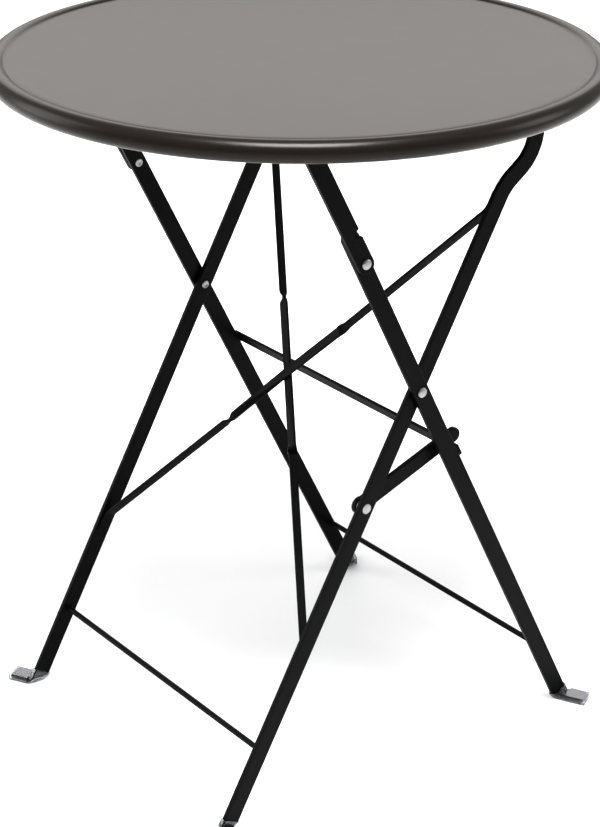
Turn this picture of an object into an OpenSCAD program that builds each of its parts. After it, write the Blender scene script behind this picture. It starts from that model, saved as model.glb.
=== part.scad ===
// Folding bistro table in powder-coated steel: a round rolled-edge top on two
// scissor frames of flat bar, with a toggle knee and a drop-in lock strut.
// Millimetres, +Z up, origin on the floor under the middle of the top.
// X runs along the hinge lines and Y along the spread of the legs.

/* [Top] */
// Outer diameter of the round top
top_d = 600; // [500:10:700]
// Height of the top's highest point above the floor
table_h = 710; // [700:1:720]
// Thickness of the pressed sheet
sheet_t = 1.5; // [1:0.1:2]
// Outer diameter of the rolled rim bead
bead_d = 21; // [19:0.5:22]
// How far the flat sheet lies below the crest of the bead
flat_drop = 1.6; // [1:0.1:2.5]

/* [Legs] */
// Width of the flat leg bar
bar_w = 18; // [16:1:18]
// Thickness of the flat leg bar
bar_t = 5; // [4:0.5:5]
// Distance from the centre plane to the middle of an inner leg
inner_x = 177.6; // [150:0.1:190]
// Space between neighbouring bars at every pivot
bar_gap = 1.2; // [1.2:0.1:1.5]
// Lean of the inner frame from the vertical
inner_lean = 28.8; // [27:0.1:30]
// Lean of the outer frame from the vertical
outer_lean = 27.3; // [26:0.1:29]
// Length of a foot tab beyond the leg
foot_len = 26; // [20:1:30]

/* [Pivots] */
// Scissor pivot, distance behind the middle of the table
scissor_y = 9.6; // [5:0.1:15]
// Scissor pivot, height above the floor
scissor_z = 414.5; // [405:0.5:425]
// Distance from the scissor pivot up to the knee pivot
knee_up = 167.6; // [160:0.1:175]
// Rear hinge of the top, where the inner legs are hung
rear_hinge_y = 149; // [146:0.5:152]
// Front hinge of the top, where the knee arms are hung
front_hinge_y = -135.7; // [-138:0.1:-133]
// Height of both hinge lines of the top
hinge_z = 690; // [688:1:692]
// Radius of every rivet shank
rivet_r = 3; // [2.5:0.1:3]

/* [Lock] */
// Distance from the scissor pivot down to the strut pivot
strut_down = 124.5; // [120:0.5:130]
// Distance between the strut's pivot and its rounded tip centre
strut_len = 123; // [120:0.5:126]
// Rise of the strut from level when it is locked
strut_rise = 21; // [20:0.5:22]
// Width of the lock strut
strut_w = 16; // [14:1:17]
// Distance from the scissor pivot down to the lock bar
bar_down = 89; // [86:0.5:92]
// Width of the flat lock bar
lock_w = 13; // [11:1:14]
// Thickness of the flat lock bar
lock_t = 3.5; // [3:0.1:4]

/* [Ties and braces] */
// Diameter of the two lower tie rods
rod_d = 6; // [5:0.5:7]
// Distance from the scissor pivot down to the inner tie rod
inner_rod_down = 384; // [370:1:390]
// Distance from the scissor pivot down to the outer tie rod
outer_rod_down = 389; // [370:1:390]
// Lower end of the cross brace, below the scissor pivot
brace_low = 272; // [265:1:280]
// Upper end of the cross brace, above the scissor pivot
brace_high = 184; // [175:1:186]
// Width of the brace strip
brace_w = 10; // [8:0.5:11]
// Thickness of the brace strip
brace_t = 3; // [2:0.5:3]
// Length of the welded tab at each end of a brace
brace_tab = 18; // [14:1:20]

/* [Hidden] */

$fn = 48;
e = 0.01;                                  // overlap that fuses solids of one node
slack = 0.05;                              // radial clearance of a turning pin
play = 0.1;                                // face clearance of a turning pair
steel = "#26272a";
bright = "silver";
plastic = [0.85, 0.88, 0.92, 0.5];

// faces of the bars, measured from the centre plane
inner_in = inner_x - bar_t / 2;
inner_out = inner_x + bar_t / 2;
outer_in = inner_out + bar_gap;
outer_out = outer_in + bar_t;
arm_in = outer_out + bar_gap;
arm_out = arm_in + bar_t;
half_w = bar_w / 2;

// top and rails
top_r = top_d / 2;
bead_r = bead_d / 2;
bead_ring = top_r - bead_r;                // radius of the bead's centre circle
flat_z = table_h - flat_drop;
under_z = flat_z - sheet_t;
rail_t = 3;
ear_end = half_w;                          // rounding radius of an ear
rail_z = under_z - rail_t;
rail_in = outer_in;
rail_out = arm_out + bar_gap + rail_t;

// feet
sleeve_t = 1.2;
sleeve_up = 13;                            // height of the sleeve on the leg
foot_z = sleeve_t;                         // underside of the steel foot
bend_r = 6;                                // outside radius of the foot bend

// upper kick of the inner leg
kick_lean = 54;                            // steepest lean in the kick
kick_start = 200;                          // straight length above the scissor pivot
kick_r1 = 50;
kick_r2 = 44;

// knee, stop and strut
outer_top = 37;                            // outer leg's length above the knee pivot
arm_tail = 1.5;                            // arm's extra length below the knee pivot
stop_r = 2.5;
stop_up = 31.8;                            // stop pin above the knee pivot
stop_side = 3.7;                           // and towards the rear edge
spacer_t = 2.6;
strut_out = inner_in - spacer_t;
strut_in = strut_out - bar_t;
outer_rod_side = 4.5;                      // outer rod's offset to the rear edge

// rivet heads and washers
head_r = 5.2;
head_h = 2.4;
low_h = 0.9;                               // low head where a bar sweeps past
tail_r = 4.4;
washer_r = 7.5;

knee_y = scissor_y - knee_up * sin(outer_lean);
knee_z = scissor_z + knee_up * cos(outer_lean);
arm_lean = atan2(knee_y - front_hinge_y, hinge_z - knee_z);
arm_len = norm([knee_y - front_hinge_y, hinge_z - knee_z]);

// ---- placing ----------------------------------------------------------------
// Frame of the inner legs: origin on the scissor pivot, Z up along the bar.
module inner_frame() { translate([0, scissor_y, scissor_z]) rotate([-inner_lean, 0, 0]) children(); }

// Frame of the outer legs: origin on the scissor pivot, Z up along the bar.
module outer_frame() { translate([0, scissor_y, scissor_z]) rotate([outer_lean, 0, 0]) children(); }

// Frame of the knee arms: origin on the knee pivot, Z up towards the front hinge.
module arm_frame() { translate([0, knee_y, knee_z]) rotate([arm_lean, 0, 0]) children(); }

// Right side as drawn, left side mirrored.
module on_side(side) { if (side > 0) children(); else mirror([1, 0, 0]) children(); }

// Round bar along X from x0 to x1, at y and z of the current frame.
module along_x(x0, x1, r, y = 0, z = 0) {
    translate([x0, y, z]) rotate([0, 90, 0]) cylinder(r = r, h = x1 - x0);
}

// Flat plate in the YZ plane between x0 and x1, from a 2-D outline in (y, z).
module plate(x0, x1) { translate([x0, 0, 0]) rotate([90, 0, 90]) linear_extrude(x1 - x0) children(); }

// Bar of width w along Z from z0 to z1.
module strip(x0, x1, w, z0, z1) { translate([x0, -w / 2, z0]) cube([x1 - x0, w, z1 - z0]); }

// ---- rivets and washers -----------------------------------------------------
// Rivet along X from x0 to x1: domed head outside, rolled tail ring inside.
module rivet(x0, x1, y, z, head = head_h, tail = low_h) {
    translate([x0, y, z]) rotate([0, 90, 0]) union() {
        cylinder(r = rivet_r, h = x1 - x0);
        translate([0, 0, x1 - x0]) dome(head_r, head);
        if (tail > 0) rotate([180, 0, 0]) tail_ring(tail);
    }
}

// Low domed head standing on the plane z = 0.
module dome(r, h) {
    rotate_extrude() polygon([[0, 0], [r, 0], [r, h * 0.3], [r * 0.9, h * 0.58],
        [r * 0.7, h * 0.82], [r * 0.4, h * 0.96], [0, h]]);
}

// Hollow rolled end of a rivet, standing on the plane z = 0.
module tail_ring(h) {
    rotate_extrude() polygon([[0, 0], [tail_r, 0], [tail_r, h * 0.5], [tail_r * 0.8, h],
        [tail_r * 0.55, h], [tail_r * 0.45, h * 0.4], [0, h * 0.4]]);
}

// Flat washer around a rivet.
module washer(x0, x1, y, z, r = washer_r) {
    difference() {
        along_x(x0, x1, r, y, z);
        along_x(x0 - 1, x1 + 1, rivet_r + slack, y, z);
    }
}

// ---- the top ----------------------------------------------------------------
module table_top() {
    lip_z = table_h - bead_r;              // height of the bead's centre circle
    meet = bead_ring - sqrt(pow(bead_r, 2) - pow(under_z - lip_z, 2));
    color("#6e6b67") union() {
        translate([0, 0, under_z]) cylinder(r = meet + sheet_t, h = sheet_t, $fn = 128);
        translate([0, 0, lip_z]) rotate_extrude($fn = 128) translate([bead_ring, 0])
            difference() {
                circle(r = bead_r);
                circle(r = bead_r - sheet_t);
                // the sheet's edge ends inside, so the roll stays open underneath
                translate([-bead_d, -bead_r / 2]) square([bead_d * 0.75, bead_r * 0.55]);
            }
    }
}

// Welded rail under the top: a flat strap with one ear for each hinge.
module rail(side) {
    color(steel) on_side(side) difference() {
        union() {
            translate([rail_in, front_hinge_y - ear_end, rail_z])
                cube([rail_out - rail_in, rear_hinge_y - front_hinge_y + 2 * ear_end, rail_t]);
            ear(rail_in, rear_hinge_y);
            ear(rail_out - rail_t, front_hinge_y);
        }
        along_x(rail_in - 1, rail_in + rail_t + 1, rivet_r, rear_hinge_y, hinge_z);
        along_x(rail_out - rail_t - 1, rail_out + 1, rivet_r, front_hinge_y, hinge_z);
    }
}

module ear(x0, y) {
    translate([x0, y - ear_end, hinge_z]) cube([rail_t, 2 * ear_end, rail_z - hinge_z + e]);
    along_x(x0, x0 + rail_t, ear_end, y, hinge_z);
}

// ---- legs -------------------------------------------------------------------
// Points of an arc of radius r in which the lean goes from a0 to a1.
function bend(p, a0, a1, r, n = 10) = [for (i = [1:n]) let (a = a0 + (a1 - a0) * i / n, s = sign(a1 - a0))
    p + s * r * [cos(a0) - cos(a), sin(a) - sin(a0)]];

// Centre line of the inner leg's kick, in (y, z).
kick_p0 = [scissor_y, scissor_z] + kick_start * [sin(inner_lean), cos(inner_lean)];
kick_arc1 = bend(kick_p0, inner_lean, kick_lean, kick_r1);
kick_p1 = kick_arc1[len(kick_arc1) - 1];
kick_run = (rear_hinge_y - kick_p1[0] - kick_r2 * (1 - cos(kick_lean))) / sin(kick_lean);
kick_p2 = kick_p1 + kick_run * [sin(kick_lean), cos(kick_lean)];
kick_arc2 = bend(kick_p2, kick_lean, 0, kick_r2);
kick_line = concat([kick_p0 - 20 * [sin(inner_lean), cos(inner_lean)], kick_p0], kick_arc1,
    [kick_p2], kick_arc2, [[rear_hinge_y, hinge_z]]);

// Unit direction of a line at point i, averaged over its two neighbours.
function heading(line, i) = let (d = line[min(i + 1, len(line) - 1)] - line[max(i - 1, 0)]) d / norm(d);

// Outline of a bar of width w that follows a centre line.
function ribbon(line, w) = concat(
    [for (i = [0:len(line) - 1]) let (h = heading(line, i)) line[i] + w / 2 * [h[1], -h[0]]],
    [for (i = [len(line) - 1:-1:0]) let (h = heading(line, i)) line[i] - w / 2 * [h[1], -h[0]]]);

// Straight lower bar and its foot: the end is folded outwards to lie on the floor.
// lean is positive when the bar's foot points to the front.
module bar_and_foot(x0, x1, lean, top, grow = 0) {
    rise = scissor_z / cos(lean) + half_w;
    difference() {
        translate([0, scissor_y, scissor_z]) rotate([-lean, 0, 0])
            strip(x0 - grow, x1 + grow, bar_w + 2 * grow, -rise - half_w, top);
        translate([x0 - 50, -500, foot_z - grow - 100]) cube([100, 1000, 100]);
        foot_corner(x0 - grow, foot_z - grow, bend_r + grow);
    }
    foot_tab(x0, lean, grow);
}

// What the bend takes off the bottom inner corner.
module foot_corner(x, z, r) {
    difference() {
        translate([x - 1, -500, z - 1]) cube([r + 1, 1000, r + 1]);
        translate([x + r, -501, z + r]) rotate([-90, 0, 0]) cylinder(r = r, h = 1002);
    }
}

// Flat tab on the floor: it keeps the bar's own heading after the fold.
module foot_tab(x0, lean, grow) {
    foot_y = scissor_y - (scissor_z - foot_z) * tan(lean);
    start_y = half_w / cos(lean);
    far = bar_t + foot_len;
    half = half_w + grow;
    wide = half / cos(lean);
    run = far * cos(lean);
    slip = -far * sin(lean);
    nose = half * [sin(lean), cos(lean)];
    difference() {
        translate([x0 - grow, foot_y, foot_z - grow]) linear_extrude(bar_t + 2 * grow)
            polygon([[0, -wide], [run + grow * cos(lean) - nose[0], slip - grow * sin(lean) - nose[1]],
                [run + grow * cos(lean) + nose[0], slip - grow * sin(lean) + nose[1]], [0, wide]]);
        foot_corner(x0 - grow, foot_z - grow, bend_r + grow);
    }
}

module inner_leg(side) {
    color(steel) on_side(side) difference() {
        union() {
            bar_and_foot(inner_in, inner_out, inner_lean, kick_start);
            plate(inner_in, inner_out) polygon(ribbon(kick_line, bar_w));
            along_x(inner_in, inner_out, half_w, rear_hinge_y, hinge_z);
        }
        along_x(inner_in - 1, inner_out + 1, rivet_r, rear_hinge_y, hinge_z);
        inner_frame() along_x(inner_in - 1, inner_out + 1, rivet_r);
        if (side > 0) inner_frame() along_x(inner_in - 1, inner_out + 1, rivet_r, 0, -strut_down);
    }
}

module outer_leg(side) {
    color(steel) on_side(side) difference() {
        union() {
            bar_and_foot(outer_in, outer_out, -outer_lean, knee_up + outer_top - half_w);
            outer_frame() along_x(outer_in, outer_out, half_w, 0, knee_up + outer_top - half_w);
        }
        outer_frame() {
            along_x(outer_in - 1, outer_out + 1, rivet_r + slack);
            along_x(outer_in - 1, outer_out + 1, rivet_r, 0, knee_up);
            along_x(outer_in - 1, outer_out + 1, stop_r, stop_side, knee_up + stop_up);
        }
    }
}

// Knee arm with a notch that closes on the stop pin.
module knee_arm(side) {
    color(steel) on_side(side) difference() {
        arm_frame() union() {
            strip(arm_in, arm_out, bar_w, -arm_tail, arm_len);
            along_x(arm_in, arm_out, half_w, 0, -arm_tail);
            along_x(arm_in, arm_out, half_w, 0, arm_len);
        }
        arm_frame() {
            along_x(arm_in - 1, arm_out + 1, rivet_r + slack);
            along_x(arm_in - 1, arm_out + 1, rivet_r + slack, 0, arm_len);
        }
        outer_frame() translate([0, stop_side, knee_up + stop_up]) {
            along_x(arm_in - 1, arm_out + 1, stop_r + 0.4);
            plate(arm_in - 1, arm_out + 1) polygon([[0, stop_r + 0.4], [half_w, stop_r + 2.5],
                [half_w, -stop_r - 4], [0, -stop_r - 0.4]]);
        }
    }
}

// ---- ties, braces and lock --------------------------------------------------
module inner_tie_rod() {
    color(steel) inner_frame() along_x(-inner_in, inner_in, rod_d / 2, 0, -inner_rod_down);
}

module outer_tie_rod() {
    color(steel) outer_frame() along_x(-outer_in, outer_in, rod_d / 2, outer_rod_side, -outer_rod_down);
}

// Flat strip between the inner legs: welded tabs on the legs' faces, edge-on
// outer stretches, and a quarter twist each side of the flat middle. It is one
// swept solid: every section is a rectangle with its own width and thickness
// directions, in the inner frame.
brace_reach = inner_in - brace_t / 2;      // middle of the strip's tab
brace_mid = (brace_high - brace_low) / 2;
brace_half = [brace_reach, (brace_high + brace_low) / 2];
brace_dir = brace_half / norm(brace_half);
flat_half = 78;                            // half length of the flat middle
twist_len = 14;
twist_steps = 8;

// Section at distance s from the middle, turned by an angle from flat to edge-on.
function brace_section(s, turn) = let (
        across = [brace_dir[1], 0, -brace_dir[0]],
        wide = brace_w / 2 * (cos(turn) * across + sin(turn) * [0, 1, 0]),
        thick = brace_t / 2 * (cos(turn) * [0, 1, 0] - sin(turn) * across),
        p = s * [brace_dir[0], 0, brace_dir[1]])
    [p + wide + thick, p - wide + thick, p - wide - thick, p + wide - thick];

// Section of the welded tab, z above the corner where the strip meets the leg.
function tab_section(z) = let (p = [brace_half[0], 0, brace_half[1] + z],
        wide = brace_w / 2 * [0, 1, 0], thick = -brace_t / 2 * [1, 0, 0])
    [p + wide + thick, p - wide + thick, p - wide - thick, p + wide - thick];

upper_sections = concat(
    [for (i = [0:twist_steps]) brace_section(flat_half + twist_len * i / twist_steps, 90 * i / twist_steps)],
    [brace_section(norm(brace_half) - brace_t, 90), tab_section(brace_t), tab_section(brace_tab)]);

// The lower half is the upper half turned half a turn about the frame's normal.
lower_sections = [for (i = [len(upper_sections) - 1:-1:0]) [for (k = [1, 0, 3, 2])
    let (q = upper_sections[i][k]) [-q[0], q[1], -q[2]]]];

module brace(lift) {
    sections = concat(lower_sections, upper_sections);
    last = 4 * (len(sections) - 1);
    sides = [for (i = [0:len(sections) - 2], k = [0:3]) let (a = 4 * i + k, b = 4 * i + (k + 1) % 4)
        each [[a, b + 4, b], [a, a + 4, b + 4]]];
    inner_frame() translate([0, lift, brace_mid]) polyhedron(
        [for (section = sections) each section],
        concat([[0, 1, 2], [0, 2, 3]], sides,
            [[last, last + 2, last + 1], [last, last + 3, last + 2]]));
}

module brace_rising() { color(steel) brace(-brace_t / 2); }

module brace_falling() { color(steel) mirror([1, 0, 0]) brace(brace_t / 2); }

module lock_bar() {
    color(steel) outer_frame() translate([-outer_out, half_w, -bar_down - lock_w / 2])
        cube([2 * outer_out, lock_t, lock_w]);
}

// Strut that hooks over the lock bar: square shoulder at the tip, ramp behind.
module lock_strut() {
    shoulder = 117.8;
    roof = 0.4;
    roof_start = 112.4;
    ramp_start = 103;
    below = -strut_w / 2 - 1;
    color(steel) inner_frame() translate([0, 0, -strut_down]) rotate([inner_lean + strut_rise, 0, 0])
        difference() {
            union() {
                along_x(strut_in, strut_out, strut_w / 2 + 1);
                along_x(strut_in, strut_out, strut_w / 2, strut_len, 0);
                translate([strut_in, 0, -strut_w / 2]) cube([bar_t, strut_len, strut_w]);
            }
            along_x(strut_in - 1, strut_out + 1, rivet_r + slack);
            plate(strut_in - 1, strut_out + 1) polygon([[shoulder, below], [shoulder, roof],
                [roof_start, roof], [ramp_start, below]]);
        }
}

// ---- fasteners --------------------------------------------------------------
module scissor_rivets() {
    for (side = [-1, 1]) color(bright) on_side(side) inner_frame()
        rivet(inner_in, outer_out + play, 0, 0, head_h, 2);
}

module scissor_washers() {
    for (side = [-1, 1]) color(bright) on_side(side) inner_frame() washer(inner_out, outer_in - play, 0, 0);
}

module knee_rivets() {
    for (side = [-1, 1]) color(bright) on_side(side) outer_frame()
        rivet(outer_in, arm_out + play, 0, knee_up);
}

module knee_washers() {
    for (side = [-1, 1]) color(bright) on_side(side) outer_frame()
        washer(outer_out, arm_in - play, 0, knee_up);
}

module stop_pins() {
    for (side = [-1, 1]) color(steel) on_side(side) outer_frame()
        along_x(outer_in, arm_out, stop_r, stop_side, knee_up + stop_up);
}

module strut_rivet() {
    color(bright) inner_frame() rivet(strut_in - play, inner_out, 0, -strut_down, low_h, 1.5);
}

module strut_spacer() {
    color(bright) inner_frame() washer(strut_out + play, inner_in, 0, -strut_down);
}

module front_hinge_rivets() {
    for (side = [-1, 1]) color(bright) on_side(side)
        rivet(arm_in - play, rail_out, front_hinge_y, hinge_z, 1.6);
}

module front_hinge_washers() {
    for (side = [-1, 1]) color(bright) on_side(side)
        washer(arm_out + play, rail_out - rail_t, front_hinge_y, hinge_z);
}

// The rear rivet is drawn as two halves that meet at the washer: the outer half
// stays in the rail's ear and the inner half stays in the leg.
module rear_hinge_rivets() {
    for (side = [-1, 1]) color(bright) on_side(side)
        rivet(rail_in, rail_in + rail_t, rear_hinge_y, hinge_z, 1.6, 0);
}

module rear_hinge_studs() {
    for (side = [-1, 1]) color(bright) on_side(side) mirror([1, 0, 0])
        rivet(-inner_out, -inner_in, rear_hinge_y, hinge_z, 1.6, 0);
}

module rear_hinge_washers() {
    for (side = [-1, 1]) color(bright) on_side(side) along_x(inner_out, rail_in - play, washer_r,
        rear_hinge_y, hinge_z);
}

// Clear sleeve pushed over a foot: the grown foot less the foot itself.
module foot_sleeve(side, x0, lean) {
    color(plastic) on_side(side) difference() {
        intersection() {
            bar_and_foot(x0, x0 + bar_t, lean, 0, sleeve_t);
            translate([x0 - 20, -500, 0]) cube([100, 1000, sleeve_up]);
        }
        bar_and_foot(x0, x0 + bar_t, lean, 0);
    }
}

table_top();
rail(-1);  // rail_left
rail(1);  // rail_right
inner_leg(-1);  // inner_leg_left
inner_leg(1);  // inner_leg_right
outer_leg(-1);  // outer_leg_left
outer_leg(1);  // outer_leg_right
knee_arm(-1);  // knee_arm_left
knee_arm(1);  // knee_arm_right
inner_tie_rod();
outer_tie_rod();
brace_rising();
brace_falling();
lock_bar();
lock_strut();
scissor_rivets();
scissor_washers();
knee_rivets();
knee_washers();
stop_pins();
strut_rivet();
strut_spacer();
front_hinge_rivets();
front_hinge_washers();
rear_hinge_rivets();
rear_hinge_studs();
rear_hinge_washers();
foot_sleeve(-1, inner_in, inner_lean);  // foot_sleeve_inner_left
foot_sleeve(1, inner_in, inner_lean);  // foot_sleeve_inner_right
foot_sleeve(-1, outer_in, -outer_lean);  // foot_sleeve_outer_left
foot_sleeve(1, outer_in, -outer_lean);  // foot_sleeve_outer_right
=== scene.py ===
# %% [markdown]
# # A folding bistro table
# The real table is a round pressed-steel top on two scissor frames of flat bar.
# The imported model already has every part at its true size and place, so this
# lesson dresses it. Each part is made again with the rounded edges, folds, welds
# and finish of the real thing, and rides on the body that the plain part rides on.

# %% Load the frame
import bmesh
import bpy
from math import asin, atan2, cos, degrees, hypot, pi, radians, sin
from mathutils import Matrix, Vector, noise


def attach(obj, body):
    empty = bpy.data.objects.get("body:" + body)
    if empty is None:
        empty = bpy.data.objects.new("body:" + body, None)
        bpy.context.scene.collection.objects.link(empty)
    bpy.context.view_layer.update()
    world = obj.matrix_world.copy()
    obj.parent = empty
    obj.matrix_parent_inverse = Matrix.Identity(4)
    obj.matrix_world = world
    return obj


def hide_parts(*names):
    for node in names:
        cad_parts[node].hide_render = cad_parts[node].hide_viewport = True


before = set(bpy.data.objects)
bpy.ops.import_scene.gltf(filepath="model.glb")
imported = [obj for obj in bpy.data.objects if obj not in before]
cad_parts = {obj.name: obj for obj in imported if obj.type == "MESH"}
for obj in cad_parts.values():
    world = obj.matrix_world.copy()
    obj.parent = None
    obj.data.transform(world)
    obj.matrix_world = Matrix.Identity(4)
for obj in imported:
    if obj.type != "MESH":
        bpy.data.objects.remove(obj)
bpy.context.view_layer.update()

# %% [markdown]
# ## The camera
# A long lens a little above the top's height, looking down at the crossing of the
# legs. It is placed by a point to look at, a bearing, an elevation and a distance,
# because those four can be checked against a real viewpoint one at a time.

# %% Place the camera
look_at = Vector((-0.0309, -0.0428, 0.3155))
bearing, elevation, roll = radians(54.14), radians(24.38), radians(-0.15)
distance = 2.3127
turn = (Matrix.Rotation(bearing, 4, "Z") @ Matrix.Rotation(pi / 2 - elevation, 4, "X")
        @ Matrix.Rotation(roll, 4, "Z"))
camera = bpy.data.objects.new("camera", bpy.data.cameras.new("camera"))
bpy.context.scene.collection.objects.link(camera)
camera.matrix_world = Matrix.Translation(look_at) @ turn @ Matrix.Translation((0, 0, distance))
camera.data.lens = 97.5
camera.data.shift_x, camera.data.shift_y = 0.0672, 0.0134
bpy.context.scene.camera = camera
print("camera at", [round(v, 3) for v in camera.matrix_world.translation])

# %% [markdown]
# ## The studio
# A plain pale floor and five soft panels. The top lies almost edge-on to the viewer,
# so what it mirrors is whatever stands low behind it: a wide panel there gives the
# flat, even grey of a satin top. A small one overhead, a little towards the viewer,
# draws the bright line along the bead, and two dimmer ones light the sides. A very
# wide ceiling light brightens the floor, and is hidden from reflections so that no
# surface mirrors it. The world is a pale wall where it is looked at directly and far
# dimmer as a light, and a contrast look then leaves the rim and legs nearly black.

# %% Floor
def grid_floor(size, steps=8):
    """A square floor of a few cells, large enough to fill any view."""
    bm = bmesh.new()
    bmesh.ops.create_grid(bm, x_segments=steps, y_segments=steps, size=size)
    mesh = bpy.data.meshes.new("floor")
    bm.to_mesh(mesh)
    bm.free()
    obj = bpy.data.objects.new("floor", mesh)
    bpy.context.scene.collection.objects.link(obj)
    return obj


floor = grid_floor(14)
print("floor", [round(v, 1) for v in floor.dimensions])

# %% Lights
def soft_panel(name, place, aim, wide, tall, power):
    """A softbox at one place, turned to face another."""
    light = bpy.data.lights.new(name, "AREA")
    light.shape, light.size, light.size_y, light.energy = "RECTANGLE", wide, tall, power
    obj = bpy.data.objects.new(name, light)
    bpy.context.scene.collection.objects.link(obj)
    obj.location = place
    obj.rotation_euler = (Vector(aim) - Vector(place)).to_track_quat("-Z", "Y").to_euler()
    obj.visible_camera = False
    return obj


away = Vector((-sin(bearing), cos(bearing), 0))       # level direction from the viewer
beside = Vector((cos(bearing), sin(bearing), 0))      # to the viewer's right
soft_panel("overhead", Vector((0, 0, 2.6)) - 0.76 * away, (0, 0, 0.7), 1.0, 1.0, 125)
backdrop = soft_panel("backdrop", 3.6 * away + Vector((0, 0, 2.35)), (0, 0, 0.7), 4.4, 1.7, 41)
backdrop.data.color = (1, 0.965, 0.94)
ceiling = soft_panel("ceiling", (0, 0, 4.6), (0, 0, 0), 26, 26, 740)
ceiling.visible_glossy = False                        # it lights the floor, and no surface mirrors it
soft_panel("left", 0.5 * away - 2.9 * beside + Vector((0, 0, 1.3)), (0, 0, 0.5), 1.6, 2.2, 40)
soft_panel("right", 2.9 * beside + Vector((0, 0, 1.5)), (0, 0, 0.6), 1.2, 1.6, 24)

# %% The pale wall all round
world = bpy.data.worlds.new("studio")
bpy.context.scene.world = world
world.use_nodes = True
nodes, wires = world.node_tree.nodes, world.node_tree.links
nodes["Background"].inputs["Color"].default_value = (0.97, 0.985, 1, 1)
ray, toward = nodes.new("ShaderNodeTexCoord"), nodes.new("ShaderNodeVectorMath")
level = nodes.new("ShaderNodeMapRange")               # dim on the viewer's side, brighter beyond the table
toward.operation = "DOT_PRODUCT"
toward.inputs[1].default_value = away
level.inputs["From Min"].default_value = -1
level.inputs["To Min"].default_value, level.inputs["To Max"].default_value = 0.16, 0.5
wires.new(ray.outputs["Generated"], toward.inputs[0])
wires.new(toward.outputs["Value"], level.inputs["Value"])
seen = nodes.new("ShaderNodeLightPath")
paler, wall = nodes.new("ShaderNodeMath"), nodes.new("ShaderNodeMath")
paler.operation, wall.operation = "MULTIPLY", "MAXIMUM"
paler.inputs[1].default_value = 0.92                  # the wall as it is seen directly
wires.new(seen.outputs["Is Camera Ray"], paler.inputs[0])
wires.new(level.outputs["Result"], wall.inputs[0])
wires.new(paler.outputs["Value"], wall.inputs[1])
wires.new(wall.outputs["Value"], nodes["Background"].inputs["Strength"])
bpy.context.scene.view_settings.view_transform = "Standard"
bpy.context.scene.view_settings.look = "Medium High Contrast"
print("world:", world.name)

# %% [markdown]
# ## Finishes
# Four finishes cover the table. The steel is powder coated: a satin paint that
# flows out into a very fine orange-peel skin, a little uneven in gloss. Noise in
# the roughness and a fine bump say more about such paint than colour does. The
# rivets are zinc plated, and the feet wear clear plastic sleeves.

# %% A helper for node graphs
def new_finish(name):
    """An empty finish with a Principled shader, and a function that adds nodes."""
    mat = bpy.data.materials.new(name)
    mat.use_nodes = True
    tree = mat.node_tree
    shader = tree.nodes["Principled BSDF"]

    def add(kind, links=(), **values):
        node = tree.nodes.new(kind)
        for key, value in values.items():
            if key in node.inputs:
                node.inputs[key].default_value = value
            else:
                setattr(node, key, value)
        for source, target in links:
            tree.links.new(source, node.inputs[target])
        return node

    def join(source, target):
        tree.links.new(source, shader.inputs[target])

    return mat, shader, add, join


def noise_at(add, scale, detail=2.0):
    """Noise in the object's own metres, so that its grain has one size everywhere."""
    place = add("ShaderNodeTexCoord")
    return add("ShaderNodeTexNoise", [(place.outputs["Object"], "Vector")],
               Scale=scale, Detail=detail, Roughness=0.55)


# %% Powder coat
def powder_coat(name, dark, light, rough, spread, peel):
    """Satin paint: slow patches of tone and gloss, and an orange-peel skin."""
    mat, shader, add, join = new_finish(name)
    patches = noise_at(add, 9, 3)
    tone = add("ShaderNodeMix", [(patches.outputs["Fac"], "Factor")], data_type="RGBA")
    tone.inputs["A"].default_value, tone.inputs["B"].default_value = (*dark, 1), (*light, 1)
    join(tone.outputs["Result"], "Base Color")
    scuffs = noise_at(add, 38, 5)
    gloss = add("ShaderNodeMapRange", [(scuffs.outputs["Fac"], "Value")])
    gloss.inputs["From Min"].default_value, gloss.inputs["From Max"].default_value = 0.3, 0.7
    gloss.inputs["To Min"].default_value = rough - spread
    gloss.inputs["To Max"].default_value = rough + spread
    join(gloss.outputs["Result"], "Roughness")
    skin = noise_at(add, 620, 2)
    bump = add("ShaderNodeBump", [(skin.outputs["Fac"], "Height")], Strength=peel, Distance=0.00003)
    join(bump.outputs["Normal"], "Normal")
    return mat, shader


top_coat, top_shader = powder_coat("top_satin_coat", (0.0085, 0.0070, 0.0058), (0.0105, 0.0086, 0.0072),
                                   rough=0.28, spread=0.004, peel=0.3)
frame_coat, frame_shader = powder_coat("frame_black_coat", (0.0025, 0.0025, 0.0026), (0.0042, 0.0042, 0.0044),
                                       rough=0.36, spread=0.03, peel=0.6)
top_shader.inputs["Specular IOR Level"].default_value = 0.16
top_shader.inputs["Specular Tint"].default_value = (1, 0.95, 0.92, 1)
frame_shader.inputs["Specular IOR Level"].default_value = 0.05
print("coats:", top_coat.name, frame_coat.name)

# %% Zinc plate
zinc, zinc_shader, add, join = new_finish("zinc_plate")
zinc_shader.inputs["Metallic"].default_value = 1
mottle = noise_at(add, 420, 4)
ramp = add("ShaderNodeMix", [(mottle.outputs["Fac"], "Factor")], data_type="RGBA")
ramp.inputs["A"].default_value = (0.20, 0.20, 0.20, 1)
ramp.inputs["B"].default_value = (0.38, 0.38, 0.37, 1)
join(ramp.outputs["Result"], "Base Color")
dull = add("ShaderNodeMapRange", [(mottle.outputs["Fac"], "Value")])
dull.inputs["To Min"].default_value, dull.inputs["To Max"].default_value = 0.28, 0.52
join(dull.outputs["Result"], "Roughness")
dents = add("ShaderNodeBump", [(noise_at(add, 900, 3).outputs["Fac"], "Height")],
            Strength=0.35, Distance=0.0002)
join(dents.outputs["Normal"], "Normal")
print("zinc:", zinc.name)

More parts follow.
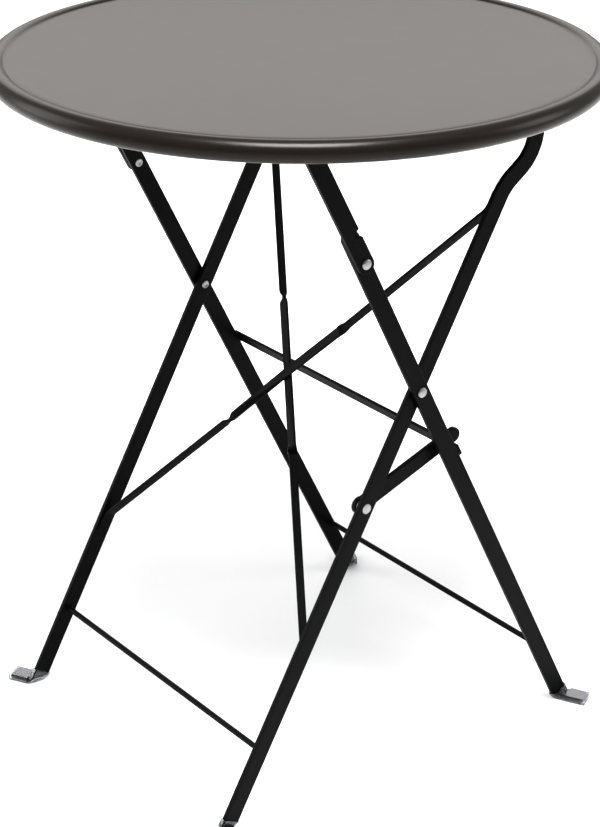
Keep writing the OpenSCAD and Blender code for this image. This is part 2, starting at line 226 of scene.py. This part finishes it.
# %% Clear sleeve
clear, clear_shader, add, join = new_finish("clear_sleeve")
clear_shader.inputs["Base Color"].default_value = (0.90, 0.93, 1.0, 1)
clear_shader.inputs["Transmission Weight"].default_value = 1
clear_shader.inputs["IOR"].default_value = 1.46
haze = add("ShaderNodeMapRange", [(noise_at(add, 60, 3).outputs["Fac"], "Value")])
haze.inputs["To Min"].default_value, haze.inputs["To Max"].default_value = 0.03, 0.12
join(haze.outputs["Result"], "Roughness")
ripple = add("ShaderNodeBump", [(noise_at(add, 110, 2).outputs["Fac"], "Height")],
             Strength=0.5, Distance=0.0006)
join(ripple.outputs["Normal"], "Normal")
print("sleeve:", clear.name)

# %% Floor finish
matte, matte_shader, add, join = new_finish("floor_matte")
shade = add("ShaderNodeMix", [(noise_at(add, 1.5).outputs["Fac"], "Factor")], data_type="RGBA")
shade.inputs["A"].default_value = (0.90, 0.90, 0.90, 1)
shade.inputs["B"].default_value = (0.93, 0.93, 0.93, 1)
join(shade.outputs["Result"], "Base Color")
matte_shader.inputs["Roughness"].default_value = 0.9
matte_shader.inputs["Specular IOR Level"].default_value = 0.1
floor.data.materials.append(matte)
print("floor finish:", matte.name)

# %% [markdown]
# ## The workshop helpers
# Nearly every part is a flat bar or plate, so one helper cuts a plate from an
# outline and rounds its edges the way a tumbled or painted edge is round. A second
# one turns a profile round an axis, for the top, rods, rivets and washers. Sizes
# are written in millimetres, as on a workshop drawing, and turned into metres when
# a mesh is stored.

# %% Store a mesh as a piece of the table
def store(name, bm, finish, body, nodes=(), smooth=38):
    """Turns millimetres to metres, and gives a mesh its finish, body and CAD nodes."""
    bmesh.ops.scale(bm, vec=(0.001,) * 3, verts=bm.verts)
    mesh = bpy.data.meshes.new(name)
    bm.to_mesh(mesh)
    bm.free()
    mesh.shade_smooth()
    mesh.set_sharp_from_angle(angle=radians(smooth))
    mesh.materials.append(finish)
    obj = bpy.data.objects.new(name, mesh)
    bpy.context.scene.collection.objects.link(obj)
    weigh = obj.modifiers.new("even_shading", "WEIGHTED_NORMAL")
    weigh.keep_sharp = True
    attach(obj, body)
    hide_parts(*nodes)
    print(f"{name}: {len(mesh.polygons)} faces on {body}")
    return obj


def mirrored(bm):
    """The left-hand twin of a right-hand mesh."""
    bmesh.ops.scale(bm, vec=(-1, 1, 1), verts=bm.verts)
    bmesh.ops.reverse_faces(bm, faces=bm.faces)
    return bm


def merged(*parts):
    """Several meshes as one."""
    whole = bmesh.new()
    for part in parts:
        mesh = bpy.data.meshes.new("part")
        part.to_mesh(mesh)
        part.free()
        whole.from_mesh(mesh)
        bpy.data.meshes.remove(mesh)
    return whole


def pair(make, *args, **more):
    """The same thing on the right and on the left, as one mesh."""
    return merged(make(*args, **more), mirrored(make(*args, **more)))


# %% Store painted and plated pieces
def painted(name, mesh, body, node, smooth=38):
    """A piece of the frame in its black coat, in place of its CAD node."""
    store(name, mesh, frame_coat, body, [node], smooth)


def painted_sides(part, kind, make, body):
    """A right-hand piece and its left-hand twin, each in place of its CAD node."""
    painted(f"{part}_right_{kind}", make(), body, f"{part}_right")
    painted(f"{part}_left_{kind}", mirrored(make()), body, f"{part}_left")


def plated(name, mesh, body, node):
    """A zinc-plated fastener, in place of its CAD node."""
    store(name, mesh, zinc, body, [node])


# %% Cut a plate and round its edges
def plate(outline, low, high, edge=0.6, axis="X"):
    """A plate between two levels of an axis, from an outline in the other two."""
    def at(u, v, w):
        return (w, u, v) if axis == "X" else (u, v, w)
    bm = bmesh.new()
    face = bm.faces.new([bm.verts.new(at(u, v, low)) for u, v in outline])
    grown = bmesh.ops.extrude_face_region(bm, geom=[face])["geom"]
    lifted = [g for g in grown if isinstance(g, bmesh.types.BMVert)]
    bmesh.ops.translate(bm, vec=at(0, 0, high - low), verts=lifted)
    bmesh.ops.recalc_face_normals(bm, faces=bm.faces)
    sharp = [e for e in bm.edges if e.calc_face_angle(0) > radians(32)]
    bmesh.ops.bevel(bm, geom=sharp, offset=edge, segments=3, profile=0.5, affect="EDGES", clamp_overlap=True)
    return bm


# %% Turn a profile round an axis
def turned(profile, steps=48, closed=False):
    """A body of revolution about X from (along, radius) pairs; it closes on the axis."""
    bm = bmesh.new()
    rings = []
    for along, r in profile:
        if r == 0:
            rings.append([bm.verts.new((along, 0, 0))] * steps)
        else:
            angles = [2 * pi * k / steps for k in range(steps)]
            rings.append([bm.verts.new((along, r * cos(a), r * sin(a))) for a in angles])
    pairs = list(zip(rings, rings[1:])) + ([(rings[-1], rings[0])] if closed else [])
    for a, b in pairs:
        for k in range(steps):
            m = (k + 1) % steps
            corners = list(dict.fromkeys((a[k], a[m], b[m], b[k])))
            if len(corners) > 2:
                bm.faces.new(corners)
    bmesh.ops.recalc_face_normals(bm, faces=bm.faces)
    return bm


def moved(bm, x=0, y=0, z=0):
    """The same mesh, shifted."""
    bmesh.ops.translate(bm, vec=(x, y, z), verts=bm.verts)
    return bm


def arc(cx, cy, r, start, stop, steps=12):
    """Points of an arc in degrees, both ends included."""
    return [(cx + r * cos(radians(start + (stop - start) * k / steps)),
             cy + r * sin(radians(start + (stop - start) * k / steps))) for k in range(steps + 1)]


# %% Lay a weld bead along a line
def weld(path, r, closed=False, steps=8, ripple=0.9):
    """A rounded ridge along the points of a path, with the ripples of its puddles."""
    bm = bmesh.new()
    count = len(path)
    rings = []
    for i, p in enumerate(path):
        ahead = Vector(path[(i + 1) % count] if closed else path[min(i + 1, count - 1)])
        behind = Vector(path[i - 1] if closed or i > 0 else path[0])
        along = (ahead - behind).normalized()
        side = along.orthogonal().normalized()
        up = along.cross(side)
        swell = r * (0.86 + 0.16 * abs(sin(ripple * i)) + 0.1 * noise.noise(Vector(p) * 0.7))
        if not closed:
            swell *= min(1, 0.35 + 0.4 * min(i, count - 1 - i))
        angles = [2 * pi * k / steps for k in range(steps)]
        rings.append([bm.verts.new(Vector(p) + swell * (cos(a) * side + sin(a) * up)) for a in angles])
    for a, b in list(zip(rings, rings[1:])) + ([(rings[-1], rings[0])] if closed else []):
        for k in range(steps):
            m = (k + 1) % steps
            bm.faces.new((a[k], a[m], b[m], b[k]))
    if not closed:
        bm.faces.new(rings[0])
        bm.faces.new(rings[-1])
    bmesh.ops.recalc_face_normals(bm, faces=bm.faces)
    return bm


def bead_round(x, y, z, r, thick, steps=26):
    """A weld ring about a rod that runs along X."""
    angles = [2 * pi * k / steps for k in range(steps)]
    return weld([(x, y + r * cos(a), z + r * sin(a)) for a in angles], thick, closed=True)


# %% [markdown]
# ## Where things are
# The two frames lean opposite ways about the scissor pivot. A small function turns
# "this far across and this far along a leaning bar" into a height and a depth, so
# every hole, rod and weld below is placed along its own bar.

# %% Sizes of the frames
scissor, inner_lean, outer_lean = (9.6, 414.5), 28.8, -27.3
bar_w, bar_t, bar_gap = 18, 5, 1.2
half_w = bar_w / 2
inner_in = 175.1                                      # from the middle to an inner leg
inner_out = inner_in + bar_t
outer_in = inner_out + bar_gap
outer_out = outer_in + bar_t
arm_in = outer_out + bar_gap
arm_out = arm_in + bar_t
hinge_z = 690
rear_hinge, front_hinge = (149, hinge_z), (-135.7, hinge_z)
knee_up, strut_down = 167.6, 124.5                    # along a leg, from the scissor pivot


def leaning(origin, lean):
    """Gives at(across, along) for a bar through origin; lean is towards the rear."""
    s, c = sin(radians(lean)), cos(radians(lean))

    def at(across, along):
        return origin[0] + across * c + along * s, origin[1] - across * s + along * c
    return at


on_inner = leaning(scissor, inner_lean)
on_outer = leaning(scissor, outer_lean)
knee = on_outer(0, knee_up)
arm_lean = degrees(atan2(front_hinge[0] - knee[0], front_hinge[1] - knee[1]))
arm_len = hypot(front_hinge[0] - knee[0], front_hinge[1] - knee[1])
on_arm = leaning(knee, arm_lean)
strut_pivot = on_inner(0, -strut_down)
print("knee", [round(v, 1) for v in knee], "arm", round(arm_len, 1), "mm at", round(arm_lean, 1))

# %% [markdown]
# ## The top
# The top is one disc of sheet steel. A press lets its edge down in a shallow groove
# and rolls it over and under into a fat bead that never quite closes, so no sharp
# edge meets a hand. It is drawn as the section of that sheet, groove and roll
# included, and turned once round the middle. A subdivided disc would lose the
# groove, which is the line that the light picks out.

# %% Section of the rolled sheet
table_h, top_r, sheet, bead_r, flat_drop = 710, 300, 1.5, 10.5, 1.6
flat_z, bead_x, bead_z = table_h - flat_drop, top_r - bead_r, table_h - bead_r


def curve(p0, p1, p2, p3, steps=10):
    """A cubic curve through its end points, pulled by the two between."""
    out = []
    for k in range(steps + 1):
        t = k / steps
        w = ((1 - t) ** 3, 3 * t * (1 - t) ** 2, 3 * t * t * (1 - t), t ** 3)
        out.append(tuple(sum(a * p[i] for a, p in zip(w, (p0, p1, p2, p3))) for i in (0, 1)))
    return out


roll_over = arc(bead_x, bead_z, bead_r, 126, -150, 56)
roll_back = arc(bead_x, bead_z, bead_r - sheet, -150, 133, 44)
dip = curve((274.5, flat_z), (279.5, flat_z), (281.2, 708.0), (282.6, 707.7))
valley = curve(dip[-1], (282.95, 707.6), (283.05, 707.8), roll_over[0], 6)
under = curve(roll_back[-1], (282.4, 705.4), (280.8, 706.9), (277.6, flat_z - sheet))
upper_face = [(r, flat_z) for r in (0, 60, 140, 220, 262)]
lower_face = [(r, flat_z - sheet) for r in (220, 110, 0)]
section = upper_face + dip + valley[1:-1] + roll_over + roll_back + under[1:] + lower_face
print("section points:", len(section))

# %% Turn the top
top_mesh = turned([(z, r) for r, z in section], steps=288)
bmesh.ops.rotate(top_mesh, matrix=Matrix.Rotation(-pi / 2, 3, "Y"), verts=top_mesh.verts)
rolled_top = store("rolled_top", top_mesh, top_coat, "top", ["table_top"], smooth=60)

# %% [markdown]
# ## Rails under the top
# Each side has a steel strap spot-welded under the sheet, with an ear turned down
# at each end for a hinge rivet. The ears stand in different planes, because the
# knee arm passes outside the leg. The strap and ears are plates with rounded
# edges, and short weld runs tie them to each other and to the sheet.

# %% Strap and ears
rail_t, strap_z = 3, 703.9
rail_in, rail_out = inner_out + bar_gap, arm_out + bar_gap + rail_t


def ear(low, pivot):
    """A hanging ear with a round end about its pivot."""
    y, z = pivot
    top_edge = [(y + half_w, strap_z + 2), (y - half_w, strap_z + 2)]
    return plate(top_edge + arc(y, z, half_w, 180, 360, 20), low, low + rail_t, 0.5)


def strap():
    """The flat strap, with its corners clipped round."""
    y0, y1, r = front_hinge[0] - half_w, rear_hinge[0] + half_w, 3
    corners = [(rail_out - r, y0 + r, 270), (rail_out - r, y1 - r, 0),
               (rail_in + r, y1 - r, 90), (rail_in + r, y0 + r, 180)]
    outline = [p for x, y, a in corners for p in arc(x, y, r, a, a + 90, 5)]
    return plate(outline, strap_z, strap_z + rail_t - 0.02, 0.4, "Z")


def rail_mesh():
    """Strap, two ears and the weld runs that hold them."""
    runs = [[(x, y + 1.1 * k, strap_z + 2.7) for k in range(16)]
            for y in (-118, -50, 34, 112) for x in (rail_in - 0.3, rail_out + 0.3)]
    ears = [(rail_in + rail_t + 0.2, rear_hinge[0]), (rail_out - rail_t - 0.2, front_hinge[0])]
    runs += [[(x, y - 8 + k, strap_z - 0.2) for k in range(17)] for x, y in ears]
    steel = strap(), ear(rail_in, rear_hinge), ear(rail_out - rail_t, front_hinge)
    return merged(*steel, *[weld(run, 1.1) for run in runs])


painted_sides("rail", "plate", rail_mesh, "top")

# %% [markdown]
# ## Legs and their folded feet
# A leg is one length of flat bar. Its foot is the last few centimetres, folded
# outwards to lie on the floor. The leg is cut as one long flat plate first, foot
# and all, sliced with a few cross lines where it will bend, and then folded by
# moving its points round the bend, as a brake press would. The foot then keeps
# the slant that a leaning bar really gives it.

# %% Fold the foot
bend_r, floor_gap, foot_len = 6, 1.2, 31


def fold_foot(bm, x0, slices=10):
    """Folds what hangs below the bend line outwards, about a line along Y."""
    start, length = floor_gap + bend_r, 2 * bend_r
    for k in range(slices + 1):
        bmesh.ops.bisect_plane(bm, geom=bm.verts[:] + bm.edges[:] + bm.faces[:],
                               plane_co=(0, 0, start - length * k / slices), plane_no=(0, 0, 1))
    for v in bm.verts:
        down = start - v.co.z
        if down > 0:
            radius = max(x0 + bend_r - v.co.x, 0.12)
            turned_by = min(down / length, 1) * pi / 2
            v.co.x = x0 + bend_r - radius * cos(turned_by) + max(down - length, 0)
            v.co.z = start - radius * sin(turned_by)
    return bm


def foot_end(at, lean, grow=0.0, corner=3.0):
    """The two clipped corners at the low end of a bar, rear corner last."""
    low = -(scissor[1] - floor_gap) / cos(radians(lean)) - foot_len - grow
    w = half_w + grow
    left = arc(-w + corner, low + corner, corner, 180, 270, 5)
    right = arc(w - corner, low + corner, corner, 270, 360, 5)
    return [at(*p) for p in left + right]


# %% Inner legs with the kick under the top
def kick(p, a0, a1, r, steps=14):
    """Centre points of a bend in which the lean goes from a0 to a1."""
    s = 1 if a1 > a0 else -1
    out = []
    for k in range(1, steps + 1):
        a = radians(a0 + (a1 - a0) * k / steps)
        aside, up = cos(radians(a0)) - cos(a), sin(a) - sin(radians(a0))
        out.append((p[0] + s * r * aside, p[1] + s * r * up))
    return out


kick_lean, kick_from, kick_r1, kick_r2 = 54, 200, 50, 44
first_bend = kick(on_inner(0, kick_from), inner_lean, kick_lean, kick_r1)
to_go = rear_hinge[0] - first_bend[-1][0] - kick_r2 * (1 - cos(radians(kick_lean)))
second_from = leaning(first_bend[-1], kick_lean)(0, to_go / sin(radians(kick_lean)))
second_bend = kick(second_from, kick_lean, 0, kick_r2)
kick_line = [on_inner(0, kick_from)] + first_bend + [second_from] + second_bend + [rear_hinge]


def beside_line(line, offset):
    """The line moved sideways by an offset, to the rear when it is positive."""
    out = []
    for i, p in enumerate(line):
        a, b = line[max(i - 1, 0)], line[min(i + 1, len(line) - 1)]
        n = hypot(b[0] - a[0], b[1] - a[1])
        out.append((p[0] + offset * (b[1] - a[1]) / n, p[1] - offset * (b[0] - a[0]) / n))
    return out


def inner_leg():
    """The bar from the foot to the rear hinge, with its foot folded."""
    outline = (foot_end(on_inner, inner_lean) + beside_line(kick_line, half_w)
               + arc(*rear_hinge, half_w, 0, 180, 20)[1:-1] + beside_line(kick_line, -half_w)[::-1])
    return fold_foot(plate(outline, inner_in, inner_out, 0.7), inner_in)


painted_sides("inner_leg", "bar", inner_leg, "inner_frame")

# %% Outer legs
past_knee = 37                                        # the bar's round end, above the knee pivot


def outer_leg():
    """The straight bar from the foot to just past the knee, with its foot folded."""
    crown = [on_outer(*p) for p in arc(0, knee_up + past_knee - half_w, half_w, 0, 180, 20)]
    return fold_foot(plate(foot_end(on_outer, outer_lean) + crown, outer_in, outer_out, 0.7), outer_in)


painted_sides("outer_leg", "bar", outer_leg, "outer_frame")

# %% [markdown]
# ## Knee arms and their stop pins
# The arm carries the front of the top, and folds on the leg at the knee. A notch
# in its rear edge closes on a pin in the leg, which stops the knee just past
# straight. The notch is part of the outline, so its lips are rounded like every
# other edge.

# %% Arm with the notch
stop_side, stop_up, stop_r = 3.7, 31.8, 2.5           # the pin, from the knee pivot along the leg
stop_place = on_outer(stop_side, knee_up + stop_up)


def in_arm(p):
    """Across and along the arm, for a point given by depth and height."""
    d, s, c = (p[0] - knee[0], p[1] - knee[1]), sin(radians(arm_lean)), cos(radians(arm_lean))
    return d[0] * c - d[1] * s, d[0] * s + d[1] * c


def knee_arm():
    """The arm's plate, with a notch that clears the stop pin."""
    px, py = in_arm(stop_place)
    throat = arc(px, py, stop_r + 0.4, 270, 90, 12)
    outline = (arc(0, -1.5, half_w, 180, 360, 20) + [(half_w, py - 5.1)] + throat
               + [(half_w, py + 4.2)] + arc(0, arm_len, half_w, 0, 180, 20))
    return plate([on_arm(*p) for p in outline], arm_in, arm_out, 0.6)


painted_sides("knee_arm", "bar", knee_arm, "knee_arms")

# %% Stop pins
def stop_pin():
    """A short pin through the leg, with both ends eased."""
    inner_end = [(outer_in, 0), (outer_in, stop_r - 0.3), (outer_in + 0.3, stop_r)]
    outer_end = [(arm_out - 0.5, stop_r), (arm_out, stop_r - 0.5), (arm_out, 0)]
    return moved(turned(inner_end + outer_end, 28), 0, *stop_place)


painted("stop_pin_pair", pair(stop_pin), "outer_frame", "stop_pins")

# %% [markdown]
# ## Tie rods and cross braces
# Two round rods tie the feet of each frame, butted and welded to the inner faces
# of the legs. Two flat strips cross between the inner legs. Each one lies flat at
# the middle, where they meet, and is twisted a quarter turn towards each end, so
# that its ends stand edge-on and bend flat against the legs. The strip is swept
# section by section with the twist eased in and out, because a twisted bar made
# with a modifier would not keep its flat middle.

# %% Tie rods
rod_r = 3


def tie_rod(end, across, along, at):
    """A round rod from leg to leg, with a weld ring at each end."""
    y, z = at(across, along)
    rod = moved(turned([(-end, 0), (-end, rod_r), (end, rod_r), (end, 0)], 32), 0, y, z)
    return merged(rod, *[bead_round(x, y, z, rod_r + 0.2, 1.1) for x in (end - 0.6, -end + 0.6)])


painted("inner_rod", tie_rod(inner_in, 0, -384, on_inner), "inner_frame", "inner_tie_rod")
painted("outer_rod", tie_rod(outer_in, 4.5, -389, on_outer), "outer_frame", "outer_tie_rod")

# %% Twisted braces
brace_w, brace_t, flat_half, twist_len = 10, 3, 78, 15
brace_high, brace_low = 184, 272                      # a tab above and below the scissor pivot
brace_mid = (brace_high - brace_low) / 2
reach = Vector((inner_in - brace_t / 2, 0, (brace_high + brace_low) / 2))
slope = reach.normalized()


def strip_ring(centre, wide, thick):
    """One section of the strip: a rectangle with clipped corners."""
    w, t, c = brace_w / 2, brace_t / 2, 0.5
    ring = [(w - c, t), (c - w, t), (-w, t - c), (-w, c - t),
            (c - w, -t), (w - c, -t), (w, c - t), (w, t - c)]
    return [centre + a * wide + b * thick for a, b in ring]


def half_strip():
    """Sections of the upper half, from the middle to the tab on the leg."""
    across = Vector((slope.z, 0, -slope.x))
    steps, start, end = 16, 4, 6                      # the tab's bend, before and after its corner
    spots = [(flat_half + twist_len * k / steps, k / steps) for k in range(steps + 1)]
    rings = []
    for s, part in [(0, 0)] + spots + [(reach.length - start, 1)]:
        a = pi / 2 * (3 * part ** 2 - 2 * part ** 3)
        wide = cos(a) * across + sin(a) * Vector((0, 1, 0))
        thick = cos(a) * Vector((0, 1, 0)) - sin(a) * across
        rings.append(strip_ring(s * slope, wide, thick))
    for k in range(7):
        b = k / 6
        p = (reach - start * slope).lerp(reach + end * Vector((0, 0, 1)), b)
        p += 2.4 * b * (1 - b) * Vector((1, 0, -0.4))
        d = slope.lerp(Vector((0, 0, 1)), b).normalized()
        rings.append(strip_ring(p, Vector((0, 1, 0)), -Vector((d.z, 0, -d.x))))
    rings.append(strip_ring(reach + Vector((0, 0, 18)), Vector((0, 1, 0)), Vector((-1, 0, 0))))
    return rings


def brace(lift, bow=0.0):
    """A strip from leg to leg; bow is how far its two halves hang below the straight line."""
    upper = half_strip()
    flip = [3, 2, 1, 0, 7, 6, 5, 4]
    lower = [[Vector((-r[k].x, r[k].y, -r[k].z)) for k in flip] for r in upper[:0:-1]]
    bm = bmesh.new()
    loops = [[bm.verts.new(p) for p in r] for r in lower + upper]
    for a, b in zip(loops, loops[1:]):
        for k in range(8):
            bm.faces.new((a[k], a[(k + 1) % 8], b[(k + 1) % 8], b[k]))
    bm.faces.new(loops[0])
    bm.faces.new(loops[-1])
    bmesh.ops.recalc_face_normals(bm, faces=bm.faces)
    for v in bm.verts:
        sag = bow * sin(pi * min(abs(v.co.x) / reach.x, 1)) ** 2
        y, z = on_inner(v.co.y + lift, v.co.z + brace_mid - sag)
        v.co = (v.co.x, y, z)
    return bm


def tab_welds(top_side, lift):
    """Weld runs down both edges of a brace's tabs."""
    runs = []
    for s in (1, -1):
        for edge in (-1, 1):
            along = [brace_mid + s * (reach.z + 4 + 1.1 * k) for k in range(12)]
            points = [on_inner(lift + edge * 5, a) for a in along]
            runs.append(weld([(s * top_side * (inner_in - 0.5), y, z) for y, z in points], 0.9))
    return runs


rising = merged(brace(-brace_t / 2, 3.5), *tab_welds(1, -brace_t / 2))
falling = merged(mirrored(brace(brace_t / 2)), *tab_welds(-1, brace_t / 2))
painted("brace_rising_strip", rising, "inner_frame", "brace_rising", smooth=50)
painted("brace_falling_strip", falling, "inner_frame", "brace_falling", smooth=50)

# %% [markdown]
# ## The lock
# A flat bar is welded across the rear edges of the outer legs. A strut on the
# right inner leg drops over it and holds the frames apart: its notch has a square
# shoulder that pushes on the bar, and a ramp that lets it ride back up.

# %% Lock bar
lock_w, lock_t, lock_down = 13, 3.5, 89


def on_bar(across, along):
    """A point across an outer leg and along it, counted from the lock bar's middle."""
    return on_outer(across, along - lock_down)


def lock_bar_mesh():
    """The flat bar on the rear edges of both outer legs, with its weld runs."""
    r, half = 1.2, lock_w / 2
    near, far = half_w + r, half_w + lock_t - r
    corners = [(far, half - r, 0), (near, half - r, 90), (near, r - half, 180), (far, r - half, 270)]
    ring = [p for x, y, a in corners for p in arc(x, y, r, a, a + 90, 4)]
    bar = plate([on_bar(*p) for p in ring], -outer_out, outer_out, 0.5)
    runs = []
    for s in (1, -1):
        for edge in (-6.2, 6.2):
            y, z = on_bar(half_w + 0.2, edge)
            runs.append(weld([(s * (outer_in + 0.2 + 0.9 * k), y, z) for k in range(6)], 1.0))
    return merged(bar, *runs)


painted("lock_bar_flat", lock_bar_mesh(), "outer_frame", "lock_bar")

# %% Lock strut
spacer_t, strut_len, strut_w, strut_rise = 2.6, 123, 16, 21
strut_out = inner_in - spacer_t
strut_in = strut_out - bar_t


def lock_strut_mesh():
    """The strut's plate: round pivot end, ramp, notch, square shoulder and round tip."""
    pivot_r, body = 9, strut_w / 2
    shoulder, corner_r, corner_y = 117.8, 1.2, -0.8
    a = degrees(asin(body / pivot_r))
    ramp = [(104, -body), (111.4, -0.6)] + arc(112.6, corner_y, corner_r, 140, 90, 4)
    square = arc(shoulder - corner_r, corner_y, corner_r, 90, 0, 5) + [(shoulder, -body)]
    outline = arc(0, 0, pivot_r, a, 360 - a, 26) + ramp + square + arc(strut_len, 0, body, 270, 450, 20)
    on_strut = leaning(strut_pivot, -strut_rise)
    return plate([on_strut(*p) for p in outline], strut_in, strut_out, 0.6)


painted("lock_strut_plate", lock_strut_mesh(), "strut", "lock_strut")

# %% [markdown]
# ## Rivets and washers
# Every pivot is a solid rivet: a low domed head on the outside and a hollow tail,
# rolled over like an eyelet, on the inside. They are turned from their section,
# with a fine lip under the head, and plated, so each one catches a small bright
# highlight against the black bar.

# %% Turn the rivets and washers
rivet_r, head_r, tail_r, washer_r = 3, 5.2, 4.4, 7.5


def head(x, h):
    """Section of a domed head that stands on the plane x."""
    lip = [(x, rivet_r), (x, head_r - 0.25), (x + 0.12 * h, head_r - 0.02),
           (x + 0.3 * h, head_r - 0.04)]
    angles = [pi / 2 * k / 10 for k in range(1, 10)]
    dome = [(x + h * (0.3 + 0.7 * sin(a)), head_r * (0.04 + 0.955 * cos(a))) for a in angles]
    return lip + dome + [(x + h, 0)]


def tail(x, h):
    """Section of a rolled hollow tail that ends at x - h, from the axis outwards."""
    return [(x - 0.4 * h, 0), (x - 0.4 * h, 1.7), (x - 0.6 * h, 2.0), (x - 0.92 * h, 2.5), (x - h, 3.0),
            (x - 0.95 * h, 3.6), (x - 0.72 * h, 4.15), (x - 0.35 * h, tail_r - 0.02),
            (x, tail_r - 0.2), (x, rivet_r)]


def rivet(x0, x1, place, h=2.4, tail_h=0.9):
    """A rivet through x0 to x1: head outside, hollow tail inside unless its height is 0."""
    start = tail(x0, tail_h) if tail_h else [(x0, 0), (x0, rivet_r)]
    return moved(turned(start + head(x1, h), 40), 0, *place)


def washer(x0, x1, place, bore=rivet_r):
    """A flat ring with eased rims."""
    c = min(0.35, (x1 - x0) / 3)
    ring = [(x0, bore), (x0, washer_r - c), (x0 + c, washer_r),
            (x1 - c, washer_r), (x1, washer_r - c), (x1, bore)]
    return moved(turned(ring, 44, closed=True), 0, *place)


# %% Rivets of the scissor, knee and strut
play = 0.1
plated("scissor_rivet_pair", pair(rivet, inner_in, outer_out + play, scissor, tail_h=2),
       "inner_frame", "scissor_rivets")
plated("scissor_washer_pair", pair(washer, inner_out, outer_in - play, scissor),
       "inner_frame", "scissor_washers")
plated("knee_rivet_pair", pair(rivet, outer_in, arm_out + play, knee), "outer_frame", "knee_rivets")
plated("knee_washer_pair", pair(washer, outer_out, arm_in - play, knee), "outer_frame", "knee_washers")
plated("strut_rivet_turned", rivet(strut_in - play, inner_out, strut_pivot, 0.9, 1.5),
       "inner_frame", "strut_rivet")
plated("strut_spacer_turned", washer(strut_out + play, inner_in, strut_pivot),
       "inner_frame", "strut_spacer")

# %% Rivets of the top's hinges
def half_rivet_inside():
    """The half of the rear rivet that stays in the leg: a head on its inner face."""
    low = [(-x, r) for x, r in head(-inner_in, 1.6)]
    return moved(turned([(inner_out, 0), (inner_out, rivet_r)] + low, 40), 0, *rear_hinge)


plated("front_hinge_rivet_pair", pair(rivet, arm_in - play, rail_out, front_hinge, h=1.6),
       "top", "front_hinge_rivets")
plated("front_hinge_washer_pair", pair(washer, arm_out + play, rail_out - rail_t, front_hinge),
       "top", "front_hinge_washers")
plated("rear_hinge_rivet_pair", pair(rivet, rail_in, rail_in + rail_t, rear_hinge, h=1.6, tail_h=0),
       "top", "rear_hinge_rivets")
plated("rear_hinge_stud_pair", pair(half_rivet_inside), "inner_frame", "rear_hinge_studs")
plated("rear_hinge_washer_pair", pair(washer, inner_out, rail_in - play, rear_hinge, bore=0.5),
       "inner_frame", "rear_hinge_washers")

# %% [markdown]
# ## Foot sleeves
# A clear plastic sleeve is pushed over each foot to spare the floor. It is a tube
# with a closed tip that follows the bar round its fold. The tube is made flat and
# straight along the bar, with an inner and an outer wall, and then folded by the
# same function as the leg, so the two bend together.

# %% Sleeves over the feet
sleeve_t, sleeve_up, slack = 1.15, 13, 0.15           # outer wall and inner wall, from the bar


def bar_ring(at, x0, along, grow, shrink=1.0, corner=1.4, steps=4):
    """A rounded section around the bar at one distance along it."""
    w, h = (half_w + grow) * shrink, (bar_t / 2 + grow) * (0.5 + 0.5 * shrink)
    r = min(corner, h * 0.9)
    ring = []
    for sx, sy, a in ((1, 1, 0), (-1, 1, 90), (-1, -1, 180), (1, -1, 270)):
        for across, x in arc(sx * (w - r), sy * (h - r), r, a, a + 90, steps):
            y, z = at(across, along)
            ring.append((x0 + bar_t / 2 + x, y, z))
    return ring


def sleeve_mesh(at, x0, lean):
    """Outer wall from rim to tip, then the inner wall back to the rim."""
    c = cos(radians(lean))
    low = -(scissor[1] - floor_gap) / c - foot_len
    rim = -(scissor[1] - sleeve_up) / c - 1.5
    spots = [rim + (low - rim) * k / 26 for k in range(27)]
    closed_tip = [(low - sleeve_t * 0.7, sleeve_t, 0.97), (low - sleeve_t, sleeve_t * 0.6, 0.93)]
    outer = [(s, sleeve_t, 1.0) for s in spots] + closed_tip
    inner = [(low - slack, slack, 0.93), (low + 0.6, slack, 1.0)] + [(s, slack, 1.0) for s in spots[-2::-1]]
    bm = bmesh.new()
    walls = [[bm.verts.new(p) for p in bar_ring(at, x0, s, g, k)] for s, g, k in outer + inner]
    count, tip = len(walls[0]), len(outer)
    for i, (a, b) in enumerate(zip(walls, walls[1:])):
        if i != tip - 1:
            for k in range(count):
                bm.faces.new((a[k], a[(k + 1) % count], b[(k + 1) % count], b[k]))
    bm.faces.new(walls[tip - 1])
    bm.faces.new(walls[tip])
    last, first = walls[-1], walls[0]
    for k in range(count):
        bm.faces.new((last[k], last[(k + 1) % count], first[(k + 1) % count], first[k]))
    bmesh.ops.recalc_face_normals(bm, faces=bm.faces)
    return fold_foot(bm, x0)


for side in ("right", "left"):
    for kind, at, x0, lean in (("inner", on_inner, inner_in, inner_lean),
                               ("outer", on_outer, outer_in, outer_lean)):
        mesh = sleeve_mesh(at, x0, lean)
        store(f"sleeve_{kind}_{side}", mesh if side == "right" else mirrored(mesh), clear,
              f"{kind}_frame", [f"foot_sleeve_{kind}_{side}"], smooth=50)
